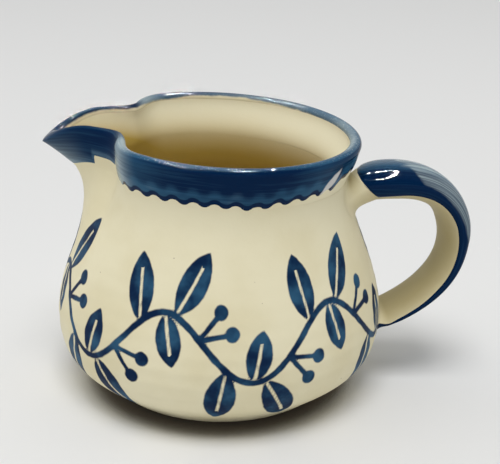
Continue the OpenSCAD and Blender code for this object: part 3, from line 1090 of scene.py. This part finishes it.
liner_grid = liner_loops(round_angles[::LINER_STRIDE])
liner_index = np.arange(liner_grid.shape[0] * liner_grid.shape[1]).reshape(liner_grid.shape[:2])
liner_points = np.concatenate([liner_grid.reshape(-1, 3), [[0, 0, floor_thickness], [0, 0, liner_base]]])
liner_rows = liner_index.T
liner_faces = np.concatenate([ring_quads(*pair) for pair in zip(liner_rows[:-1], liner_rows[1:])])
liner_fans = [fan(liner_rows[0], len(liner_points) - 2)[:, ::-1],
              fan(liner_rows[-1], len(liner_points) - 1)]
liner_glaze = make_piece("liner_glaze", liner_points, liner_faces, liner_fans,
                         inside=np.ones(len(liner_points)), brush=unpainted(len(liner_points)))

# %% [markdown]
# ## Arithmetic on shader sockets
# Node trees are easier to read as sums. One small class wraps a socket, so that adding or multiplying
# two of them makes a Math node, and one method makes any other node from its settings and its sockets.


# %% Shader arithmetic
class Field:
    """A socket of a node tree that takes part in Python sums."""

    def __init__(self, tree, socket=None):
        """Keeps the tree and one socket of it."""
        self.tree = tree
        self.socket = socket

    def node(self, kind, settings, sockets, output=0):
        """Adds a node: its settings, then a value or a link for each socket; gives back one output."""
        made = self.tree.nodes.new(kind)
        for name, value in settings.items():
            setattr(made, name, value)
        for name, value in sockets.items():
            if isinstance(value, Field):
                self.tree.links.new(value.socket, made.inputs[name])
            else:
                made.inputs[name].default_value = value
        return Field(self.tree, None if output is None else made.outputs[output])

    def maths(self, operation, *terms):
        """A Math node on two terms, each a field or a number."""
        return self.node("ShaderNodeMath", {"operation": operation}, dict(enumerate(terms)))

    # Each sum, difference or product makes one Math node
    def __add__(self, other):
        return self.maths("ADD", self, other)

    def __sub__(self, other):
        return self.maths("SUBTRACT", self, other)

    def __rsub__(self, other):
        return self.maths("SUBTRACT", other, self)

    def __mul__(self, other):
        return self.maths("MULTIPLY", self, other)

    __radd__ = __add__
    __rmul__ = __mul__

    def step(self, low, high):
        """0 below low, 1 above high, and a smooth rise between; low may be the larger one."""
        return self.node("ShaderNodeMapRange", {"interpolation_type": "SMOOTHSTEP"},
                         {"Value": self, "From Min": low, "From Max": high})

    def mix(self, first, second):
        """Colour that goes from first to second as this field goes from 0 to 1."""
        return self.node("ShaderNodeMix", {"data_type": "RGBA"}, {0: self, 6: first, 7: second}, output=2)


print("fields can be added, multiplied, stepped and mixed")

# %% [markdown]
# ## Starting and ending a finish
# Every finish here is a colour under a clear, glossy glaze, so all of them begin and end alike.
# Patterns are read in object coordinates, whose scale is in waves per metre, and what follows the brush
# is read from the points' attributes or the UV map.

# %% Finish helpers
BUMP_STRENGTH = 0.25
bump_height = 0.4 * MM
GLAZE_IOR = 1.45
PLAIN_DETAIL = 2.0
FINE_DETAIL = 3.0


def new_finish(name):
    """A material with an empty tree, and the field that starts its sums."""
    finish = bpy.data.materials.new(name)
    finish.use_nodes = True
    finish.node_tree.nodes.clear()
    return finish, Field(finish.node_tree)


def glazed(start, colour, roughness, bump, gloss):
    """Ends a tree in a glossy surface: colour under a clear glaze, with its bump; gloss 0.5 is glass."""
    normal = start.node("ShaderNodeBump", {}, {
        "Strength": BUMP_STRENGTH, "Distance": bump_height, "Height": bump})
    surface = start.node("ShaderNodeBsdfPrincipled", {}, {
        "Base Color": colour, "Roughness": roughness, "IOR": GLAZE_IOR,
        "Specular IOR Level": gloss, "Normal": normal})
    start.node("ShaderNodeOutputMaterial", {}, {"Surface": surface}, output=None)


def object_place(start):
    """Place of a point in object coordinates."""
    return start.node("ShaderNodeTexCoord", {}, {}, output=3)


def noise(start, where, scale, detail=PLAIN_DETAIL):
    """Cloudy values about 0.5, with scale waves to each unit of where."""
    return start.node("ShaderNodeTexNoise", {}, {"Vector": where, "Scale": scale, "Detail": detail})


def attribute(start, name):
    """A field kept on the mesh's points."""
    return start.node("ShaderNodeAttribute", {"attribute_name": name}, {}, output=2)


print("finish helpers ready")

# %% [markdown]
# ## The clay
# The clay is buff and a little mottled, with iron specks a few tenths of a millimetre wide. Specks
# could be tiny pieces, but a cell pattern that is cut off close to the cells' middles gives round dots,
# and a second noise keeps only a few of them. The glaze over it is dimpled and finely grained.

# %% Clay
CREAM = (0.79, 0.735, 0.53, 1)
CREAM_WARM = (0.73, 0.665, 0.45, 1)
SPECK = (0.20, 0.12, 0.06, 1)
CLOUD_SCALE = 38.0
CLOUD_DETAIL = 5.0
CLOUD_RANGE = (0.35, 0.70)
SPECK_SCALE = 240.0
SPECK_RANGE = (0.075, 0.03)
RARE_SCALE = 210.0
RARE_RANGE = (0.60, 0.66)
SPECK_AMOUNT = 0.75
DIMPLE_SCALE = 160.0
DIMPLE_AMOUNT = 0.6
GRAIN_SCALE = 900.0
GRAIN_AMOUNT = 0.25


def clay_colour(start, where):
    """Buff clay under glaze: clouds of two creams, and iron specks in a few of the cells."""
    clouds = noise(start, where, CLOUD_SCALE, CLOUD_DETAIL).step(*CLOUD_RANGE)
    base = clouds.mix(CREAM, CREAM_WARM)
    cells = start.node("ShaderNodeTexVoronoi", {}, {"Vector": where, "Scale": SPECK_SCALE})
    rare = noise(start, where, RARE_SCALE).step(*RARE_RANGE)
    speck = cells.step(*SPECK_RANGE) * rare * SPECK_AMOUNT
    return speck.mix(base, SPECK)


def glaze_bump(start, where):
    """Height of the glaze: a soft dimple and a fine grain."""
    dimple = noise(start, where, DIMPLE_SCALE, FINE_DETAIL) * DIMPLE_AMOUNT
    return dimple + noise(start, where, GRAIN_SCALE) * GRAIN_AMOUNT


print(f"clouds about {1000 / CLOUD_SCALE:.0f} mm wide, cells about {1000 / SPECK_SCALE:.0f} mm")

# %% [markdown]
# ## Amber and tan
# Inside, the glaze is amber below a wandering line and nearly clear above it: partly glaze that ran
# down and pooled, and partly painted shade deeper in the jug. The strap's inner face is tan, partly for
# the clay and partly as painted shade. Either could be brushed onto the mesh by hand, but heights,
# noise and the marks on the points say it in a few nodes, and they can be changed later.

# %% Tints
# Amber inside: pooled glaze, and partly painted shade deeper in the jug
AMBER_AND_SHADE = (0.55, 0.395, 0.095, 1)
# Tan of the strap's inner face: partly the clay's colour, partly painted shade
TAN_AND_SHADE = (0.48, 0.41, 0.225, 1)
AMBER_BASE = 0.02
AMBER_TILT = 0.11
amber_heights = (87 * MM, 67 * MM)
amber_wander = 4 * MM
WANDER_SCALE = 30.0
TAN_BASE = 0.75
TAN_CLOUD = 0.45
TAN_SCALE = 70.0


def part(start, where, axis):
    """One coordinate of a place: 0, 1 and 2 are x, y and z."""
    return start.node("ShaderNodeSeparateXYZ", {}, {"Vector": where}, output=axis)


def amber_and_shade(start, where):
    """Amount of amber, partly painted shade: a base amount inside, and all of it below a tilted, wandering
    height.
    """
    height = part(start, where, 2) + part(start, where, 0) * AMBER_TILT
    wander = (noise(start, where, WANDER_SCALE, FINE_DETAIL) - 0.5) * amber_wander
    return ((height + wander).step(*amber_heights) + AMBER_BASE) * attribute(start, "inside")


def tan_and_shade(start, where):
    """Amount of tan, partly painted shade: the strap's bare inner face, with a cloud in it."""
    return attribute(start, "tan") * (TAN_BASE + TAN_CLOUD * noise(start, where, TAN_SCALE, FINE_DETAIL))


print(f"amber fades out from {1000 * amber_heights[1]:.0f} to {1000 * amber_heights[0]:.0f} mm up")

# %% [markdown]
# ## Stoneware
# The pot, the handle and the liner are the same glazed clay with another tint: amber inside, partly glaze
# that pools and partly painted shade, and tan on the strap's inner face, partly painted shade. The inside
# is painted paler above the pool, as painted light. The border and the blue on the wads are painted where
# the distance to a stroke is negative, with a ragged edge and two blues.

# %% Stoneware finish
# Paler cream for the inside: painted light
CREAM_PAINTED_LIGHT = (0.92, 0.87, 0.65, 1)
SLIP_DEEP = (0.001, 0.0145, 0.054, 1)
SLIP_MID = (0.024, 0.09, 0.172, 1)
CLAY_GLOSS = 0.08
CLAY_ROUGHNESS = 0.42
ROUGHNESS_SCALE = 60.0
ROUGHNESS_SWING = 0.08
PAINT_SOFT = 0.3
PAINT_RAGGED = 0.6
RAGGED_SCALE = 320.0
THICK_SCALE = 110.0
# Values of a cloud between which the brushwork's blue goes from middling to deep
BORDER_THICK = (0.30, 0.62)
WAD_THICK = (0.10, 0.45)
PAINTED_LIGHT_SHARE = 0.9


def stoneware(name, tint, tint_colour, thick_range):
    """Glazed clay: two creams, a paler cream inside as painted light, a tint, and brushwork in two blues.
    """
    finish, start = new_finish(name)
    where = object_place(start)
    # Painted light: the inside is mixed towards a paler cream, as if more light reached it
    painted_light = attribute(start, "inside") * PAINTED_LIGHT_SHARE
    clay = painted_light.mix(clay_colour(start, where), CREAM_PAINTED_LIGHT)
    colour = tint(start, where).mix(clay, tint_colour)
    ragged = (noise(start, where, RAGGED_SCALE, FINE_DETAIL) - 0.5) * PAINT_RAGGED
    paint = (attribute(start, "brush") + ragged).step(PAINT_SOFT, -PAINT_SOFT)
    thick = noise(start, where, THICK_SCALE, FINE_DETAIL).step(*thick_range)
    colour = paint.mix(colour, thick.mix(SLIP_MID, SLIP_DEEP))
    roughness = noise(start, where, ROUGHNESS_SCALE) * ROUGHNESS_SWING + CLAY_ROUGHNESS
    glazed(start, colour, roughness, glaze_bump(start, where), CLAY_GLOSS)
    return finish


pot_clay = stoneware("pot_stoneware", amber_and_shade, AMBER_AND_SHADE, BORDER_THICK)
handle_clay = stoneware("handle_stoneware", tan_and_shade, TAN_AND_SHADE, WAD_THICK)
liner = stoneware("liner_glaze", amber_and_shade, AMBER_AND_SHADE, BORDER_THICK)
print("three stoneware finishes ready")

# %% [markdown]
# ## Blues of the slip
# The slip is cobalt blue: dark where the brush left it thick, middling in streaks, and grey-blue where
# the clay shows through. Streaks come from noise on the UV map that is stretched along the brush. An
# image of streaks would do too, but it would repeat and need a file.

# %% Brush streaks
# Streaks along the brush, coarse and fine, in waves per centimetre along and across it
COARSE_STREAKS = (0.30, 8.0, 1.0)
COARSE_DETAIL = 4.0
COARSE_RANGE = (0.40, 0.66)
COARSE_SHARE = 0.65
FINE_STREAKS = (0.9, 30.0, 1.0)
FINE_RANGE = (0.35, 0.7)
FINE_SHARE = 0.35


def streaks(start, stretch, detail, limits):
    """Noise on the UV map, stretched along the brush and cut off between two limits."""
    uv = start.node("ShaderNodeTexCoord", {}, {}, output=2)
    stretched = start.node("ShaderNodeMapping", {}, {"Vector": uv, "Scale": stretch})
    return noise(start, stretched, 1.0, detail).step(*limits)


def brush_streak(start):
    """Streaks of the brush: a share of coarse ones and a share of fine ones."""
    coarse = streaks(start, COARSE_STREAKS, COARSE_DETAIL, COARSE_RANGE) * COARSE_SHARE
    return coarse + streaks(start, FINE_STREAKS, FINE_DETAIL, FINE_RANGE) * FINE_SHARE


print(f"coarse streaks about {10 / COARSE_STREAKS[1]:.1f} mm wide, fine ones {10 / FINE_STREAKS[1]:.1f} mm")

# %% [markdown]
# ## Tones and thin places
# One sum says how far the blue goes from deep to middling, and another how thin the slip is. Both add
# up what the coats carry: the tables' tones, the thin places, the dry stroke and the worn rim, each
# broken up by streaks and patches as a brush would leave it. The pale crest is partly painted
# reflection, and the strap's pale top and dark near side are partly painted light and shade.

# %% Slip tones
TONE_SHARE = 0.9
STREAK_TONE = 0.42
BAND_TONE = 0.7
# Painted reflection, in part: the crest's blue is lifted towards middling
RIM_TONE_AND_REFLECTION = 2
# How thin a place is at least, and how much a streak or a patch adds
THIN_STREAKS = (0.55, 0.4)
DRY_STREAKS = (0.2, 0.95)
RIM_PATCHES = (0.6, 0.6)
# Lengths in millimetres from the crest, negative inside the jug, between which the worn rim fades in
INSIDE_CREST = (1.4, -0.8)
CREST_GRAIN_SCALE = 1300.0
CREST_GRAIN_RANGE = (0.54, 0.70)
# Painted reflection, in part: the crest is painted paler
CREST_THIN_AND_REFLECTION = 0.6
BAND_THIN = 0.3


def at_least(amounts, field):
    """The first amount, and the second times a field."""
    return amounts[0] + amounts[1] * field


def slip_tone(start, streak, band, top):
    """How far the blue goes from deep to middling: the coat's tone, streaks, pale band and crest, the crest
    partly painted reflection.
    """
    tone = attribute(start, "tone") * TONE_SHARE + (streak - 0.5) * STREAK_TONE
    return tone + band * BAND_TONE + top * attribute(start, "rim") * RIM_TONE_AND_REFLECTION


def slip_thinness(start, where, streak, patch, band, top):
    """How thin the slip is: thin places and the dry stroke in streaks, the rim in patches and grain, and
    painted reflection on the crest.
    """
    rim = attribute(start, "rim")
    grain = noise(start, where, CREST_GRAIN_SCALE).step(*CREST_GRAIN_RANGE)
    thin = attribute(start, "thin") * at_least(THIN_STREAKS, streak)
    thin = thin + attribute(start, "dry") * at_least(DRY_STREAKS, streak)
    inner = attribute(start, "from_crest").step(*INSIDE_CREST)
    thin = thin + inner * rim * at_least(RIM_PATCHES, patch)
    return thin + top * (streak * patch + grain) * rim * CREST_THIN_AND_REFLECTION + band * streak * patch * BAND_THIN


print("tones and thin places ready")

# %% [markdown]
# ## The slip
# Along its lower edge the slip has a dark line where it gathered, with a paler band above. The gap
# that two strokes left is painted a pale grey, as painted reflection, and the clay shows where the slip's
# inner edge breaks up. Its gloss is sharper than the clay's, so it shows the lamps as fine lines.

# %% Slip finish
SLIP_THIN = (0.34, 0.42, 0.44, 1)
# Pale grey in the gap between two strokes: painted reflection
SLIP_PAINTED_REFLECTION = (0.62, 0.62, 0.62, 1)
SLIP_GLOSS = 0.05
SLIP_ROUGHNESS = 0.02
STREAK_ROUGHNESS = 0.02
SLIP_BUMP = 0.5
PATCH_SCALE = 45.0
PATCH_RANGE = (0.42, 0.68)
# Lengths in millimetres from the slip's edges, its crest and its gap, between which each part fades
EDGE_WOBBLE = 0.5
LINE_RANGE = (2.0, 1.2)
BAND_RANGE = (6.5, 2.8)
CREST_RANGE = (2.0, 1.2)
GAP_RAGGED = 1.6
GAP_RANGE = (0.2, -0.7)
BARE_RANGE = (0.5, -0.3)
SLIP_RAGGED_SCALE = 260.0


def slip_finish(name):
    """Blue slip: tones and thin places, a dark lower line, a gap painted grey as a reflection and a ragged
    inner edge.
    """
    finish, start = new_finish(name)
    where = object_place(start)
    streak = brush_streak(start)
    patch = noise(start, where, PATCH_SCALE, FINE_DETAIL).step(*PATCH_RANGE)
    edge = attribute(start, "from_edge") + (patch - 0.5) * EDGE_WOBBLE
    line = edge.step(*LINE_RANGE)
    band = edge.step(*BAND_RANGE) * (1 - line)
    top = attribute(start, "from_crest").step(*CREST_RANGE)
    tone = (1 - line) * slip_tone(start, streak, band, top)
    thin = (1 - line) * slip_thinness(start, where, streak, patch, band, top)
    blue = thin.mix(tone.mix(SLIP_DEEP, SLIP_MID), SLIP_THIN)
    ragged = noise(start, where, SLIP_RAGGED_SCALE, FINE_DETAIL) - 0.5
    # Painted reflection: the gap is filled with pale grey
    gap_reflection = (attribute(start, "gap") + ragged * GAP_RAGGED).step(*GAP_RANGE)
    bare = (attribute(start, "from_inside") + ragged).step(*BARE_RANGE)
    colour = bare.mix(gap_reflection.mix(blue, SLIP_PAINTED_REFLECTION), clay_colour(start, where))
    roughness = streak * STREAK_ROUGHNESS + SLIP_ROUGHNESS
    glazed(start, colour, roughness, glaze_bump(start, where) * SLIP_BUMP, SLIP_GLOSS)
    return finish


blue_slip = slip_finish("blue_slip")
print("slip ready")

# %% [markdown]
# ## Putting the pieces on the frame
# Each piece takes its finish, hides the solid that it stands for and rides on the one rigid body of the
# jug.

# %% Dress and ride
dressing = [
    (pot_body, pot_clay, "stoneware", "body"),
    (pot_collar, pot_clay, "stoneware", "collar"),
    (pot_spout, pot_clay, "stoneware", "spout"),
    (handle_strap, handle_clay, "stoneware", "handle"),
    (upper_wad, handle_clay, "luting_clay", "upper_wad"),
    (lower_wad, handle_clay, "luting_clay", "lower_wad"),
    (collar_slip, blue_slip, "blue_slip", "collar_slip"),
    (spout_slip, blue_slip, "blue_slip", "spout_slip"),
    (handle_slip, blue_slip, "blue_slip", "handle_slip"),
    (liner_glaze, liner, "liner_glaze", "liner_glaze"),
]
for piece, finish, slot, node in dressing:
    piece.data.materials.append(finish)
    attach(piece, "root")
    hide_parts(node)
print(f"{len(dressing)} pieces ride on root")

# %% [markdown]
# ## Camera
# The photograph was taken from a little above the rim, square to the line from spout to handle, with a
# long lens. The lens is given by its focal length in pixels of the photograph, as a camera fit gives
# it.

# %% Camera
PHOTO_WIDTH = 500
focal_pixels = 1150.4
SENSOR = 36.0
camera_place = Vector((23.5 * MM, -368.8 * MM, 198.1 * MM))
camera_target = Vector((9.97 * MM, 0.64 * MM, 53.27 * MM))
camera_roll = np.radians(1.6)
camera = bpy.data.objects.new("camera", bpy.data.cameras.new("camera"))
camera.data.sensor_width = SENSOR
camera.data.lens = SENSOR * focal_pixels / PHOTO_WIDTH
camera.location = camera_place
camera.rotation_mode = "QUATERNION"
facing = (camera_target - camera_place).to_track_quat("-Z", "Y")
camera.rotation_quaternion = facing @ Quaternion((0, 0, 1), camera_roll)
bpy.context.scene.collection.objects.link(camera)
bpy.context.scene.camera = camera
print(f"lens {camera.data.lens:.1f} mm")

# %% [markdown]
# ## Lamps
# A soft lamp high up at the front gives the light its direction. It isn't seen in reflections, because
# one large lamp would show on the glaze as a white square. Four thin strips overhead are for the gloss
# alone: they light only the slip, and show on it as fine bright lines.

# %% Lamps
softbox_place = Vector((0, -0.62, 1.9))
softbox_side = 0.9
SOFTBOX_RADIANCE = 8.3
strip_height = 430 * MM
strip_width = 2.2 * MM
frame_centre = (-12 * MM, 59 * MM)
frame_size = (235 * MM, 338 * MM)
STRIP_RADIANCE = 5500


def add_lamp(name, place, length, width, radiance):
    """An area lamp that faces down; its power is its radiance times its area and pi."""
    lamp = bpy.data.lights.new(name, "AREA")
    lamp.shape = "RECTANGLE"
    lamp.size = length
    lamp.size_y = width
    lamp.energy = np.pi * radiance * length * width
    hung = bpy.data.objects.new(name, lamp)
    hung.location = place
    bpy.context.scene.collection.objects.link(hung)
    return hung


softbox = add_lamp("softbox", softbox_place, softbox_side, softbox_side, SOFTBOX_RADIANCE)
softbox.rotation_euler = (-softbox_place).to_track_quat("-Z", "Y").to_euler()
softbox.visible_glossy = False
strips = []
for side in (-1, 1):
    across = (frame_centre[0], frame_centre[1] + side * frame_size[1] / 2, strip_height)
    along = (frame_centre[0] + side * frame_size[0] / 2, frame_centre[1], strip_height)
    strips.append(add_lamp("strip_across", across, frame_size[0], strip_width, STRIP_RADIANCE))
    strips.append(add_lamp("strip_along", along, strip_width, frame_size[1], STRIP_RADIANCE))
slip_coats = bpy.data.collections.new("slip_coats")
for coat in (collar_slip, spout_slip, handle_slip):
    slip_coats.objects.link(coat)
for strip in strips:
    strip.visible_diffuse = False
    strip.light_linking.receiver_collection = slip_coats
print(f"a softbox and {len(strips)} strips")

# %% [markdown]
# ## The white box
# The jug stands as if in a white box with an open front. The sides fill in the shadows, the left one
# most of all. The front is dark high up, and the room's light comes in low down. Walls could be built,
# but a world colour that depends on the direction takes only a few nodes.

# %% World
SIDE_LIGHT = (0.58, 0.585, 0.585, 1)
LEFT_LIGHT = (1.0, 1.0, 0.99, 1)
FRONT_DIM = (0.06, 0.06, 0.065, 1)
ROOM_LIGHT = (1.0, 0.99, 0.96, 1)
LEFT_RANGE = (-0.3, -0.8)
FRONT_RANGE = (-0.15, -0.55)
ROOM_RANGE = (0.45, 0.30)

world = bpy.data.worlds.new("white_box")
world.use_nodes = True
world.node_tree.nodes.clear()
sky = Field(world.node_tree)
direction = sky.node("ShaderNodeTexCoord", {}, {}, output=0)
open_front = part(sky, direction, 1).step(*FRONT_RANGE)
low_down = part(sky, direction, 2).step(*ROOM_RANGE)
dome_colour = part(sky, direction, 0).step(*LEFT_RANGE).mix(SIDE_LIGHT, LEFT_LIGHT)
dome_colour = open_front.mix(dome_colour, FRONT_DIM)
dome_colour = (open_front * low_down).mix(dome_colour, ROOM_LIGHT)
dome = sky.node("ShaderNodeBackground", {}, {"Color": dome_colour})
sky.node("ShaderNodeOutputWorld", {}, {"Surface": dome}, output=None)
bpy.context.scene.world = world
bpy.context.scene.view_settings.view_transform = "Standard"
print("a dome lights the scene")

# %% [markdown]
# ## Floor
# The floor is a sheet of pale paper. In so much soft light the dark line under the foot would be lost,
# so painted shade darkens the paper where the jug closes it in, which an Ambient Occlusion node
# measures.

# %% Floor
FLOOR_COLOUR = (0.80, 0.80, 0.795, 1)
FLOOR_SHADE = (0.12, 0.105, 0.09, 1)
SHADE_OPEN = (0.25, 0.52)
shade_reach = 13 * MM
floor_reach = 4.0

floor_mesh = bpy.data.meshes.new("floor")
corners = [(-floor_reach, -floor_reach, 0), (floor_reach, -floor_reach, 0),
           (floor_reach, floor_reach, 0), (-floor_reach, floor_reach, 0)]
floor_mesh.from_pydata(corners, [], [(0, 1, 2, 3)])
floor = bpy.data.objects.new("floor", floor_mesh)
bpy.context.scene.collection.objects.link(floor)
floor_finish, paper = new_finish("floor_paper")
openness = paper.node("ShaderNodeAmbientOcclusion", {}, {"Distance": shade_reach}, output=1)
# Painted shade: the paper is darker where the jug closes it in
floor_colour = openness.step(*SHADE_OPEN).mix(FLOOR_SHADE, FLOOR_COLOUR)
white = paper.node("ShaderNodeBsdfDiffuse", {}, {"Color": floor_colour})
paper.node("ShaderNodeOutputMaterial", {}, {"Surface": white}, output=None)
floor_mesh.materials.append(floor_finish)
print(f"a floor of {2 * floor_reach:.0f} m")
